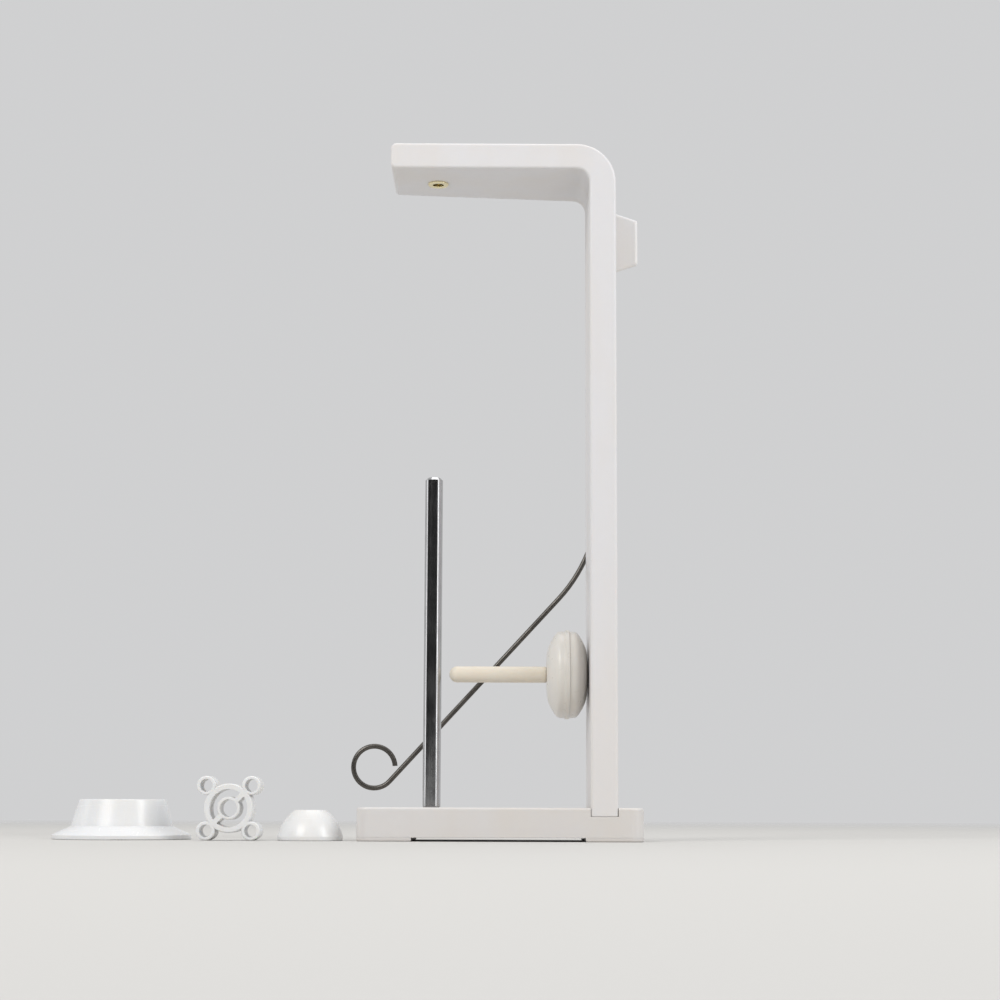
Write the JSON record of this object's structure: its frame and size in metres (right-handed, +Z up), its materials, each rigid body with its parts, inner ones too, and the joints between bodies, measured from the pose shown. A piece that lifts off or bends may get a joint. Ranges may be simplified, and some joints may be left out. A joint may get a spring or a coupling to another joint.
{
  "type": "thread rack",
  "caption": "White tabletop thread rack with a spool rod on a weighted base, a post and arm with a brass eyelet, a sideways spool pin, a swinging wire guide and loose spool adapters.",
  "frame": {"origin": "on the table under the middle of the base", "axes": "+X from the spool rod towards the post, +Y from the front to the back, +Z up along the spool rod"},
  "size_m": [0.208, 0.0564, 0.2465],
  "materials": {
    "base_plastic": "satin moulded plastic, warm white",
    "foot_plastic": "satin moulded plastic, warm white",
    "weight_steel": "dark sheared steel plate",
    "screw_steel": "zinc plated",
    "frame_plastic": "satin moulded plastic, white",
    "eyelet_brass": "polished, pale",
    "block_plastic": "satin moulded plastic, white",
    "rod_steel": "polished bar",
    "pin_nylon": "natural nylon, cream",
    "collar_plastic": "moulded plastic, white",
    "wire_steel": "spring wire, dark grey",
    "adapter_plastic": "moulded plastic, cool white"
  },
  "bodies": {
    "rack": {"base_shell": "base_plastic", "base_weight": "weight_steel", "left_foot": "foot_plastic", "right_foot": "foot_plastic", "foot_screws": "screw_steel", "frame_bar": "frame_plastic", "frame_screws": "screw_steel", "thread_eyelet": "eyelet_brass", "guide_block": "block_plastic", "guide_block_screws": "screw_steel", "guide_pivot_screw": "screw_steel", "guide_washers": "screw_steel"},
    "rod": {"spool_rod": "rod_steel"},
    "side_pin": {"side_spool_pin": "pin_nylon", "side_pin_collar": "collar_plastic"},
    "guide": {"guide_wire": "wire_steel"},
    "large_adapter": {"large_cone_adapter": "adapter_plastic"},
    "lobed_adapter": {"lobed_spool_adapter": "adapter_plastic"},
    "small_adapter": {"small_cone_adapter": "adapter_plastic"}
  },
  "joints": [
    {"name": "guide_swing", "type": "hinge", "parent": "rack", "child": "guide", "pos_m": [0.04475, 0.0186, 0.2161], "axis": [0, 1, 0], "range_deg": [0, 135]},
    {"name": "rod_lift", "type": "slide", "parent": "rack", "child": "rod", "axis": [0, 0, 1], "range_m": [0, 0.1]},
    {"name": "side_pin_spin", "type": "hinge", "parent": "rack", "child": "side_pin", "pos_m": [0.0308, 0, 0.0582], "axis": [1, 0, 0], "continuous": true},
    {"name": "large_adapter_lift", "type": "slide", "parent": "rack", "child": "large_adapter", "axis": [0, 0, 1], "range_m": [0, 0.05]},
    {"name": "lobed_adapter_lift", "type": "slide", "parent": "rack", "child": "lobed_adapter", "axis": [0, 0, 1], "range_m": [0, 0.05]},
    {"name": "small_adapter_lift", "type": "slide", "parent": "rack", "child": "small_adapter", "axis": [0, 0, 1], "range_m": [0, 0.05]}
  ]
}
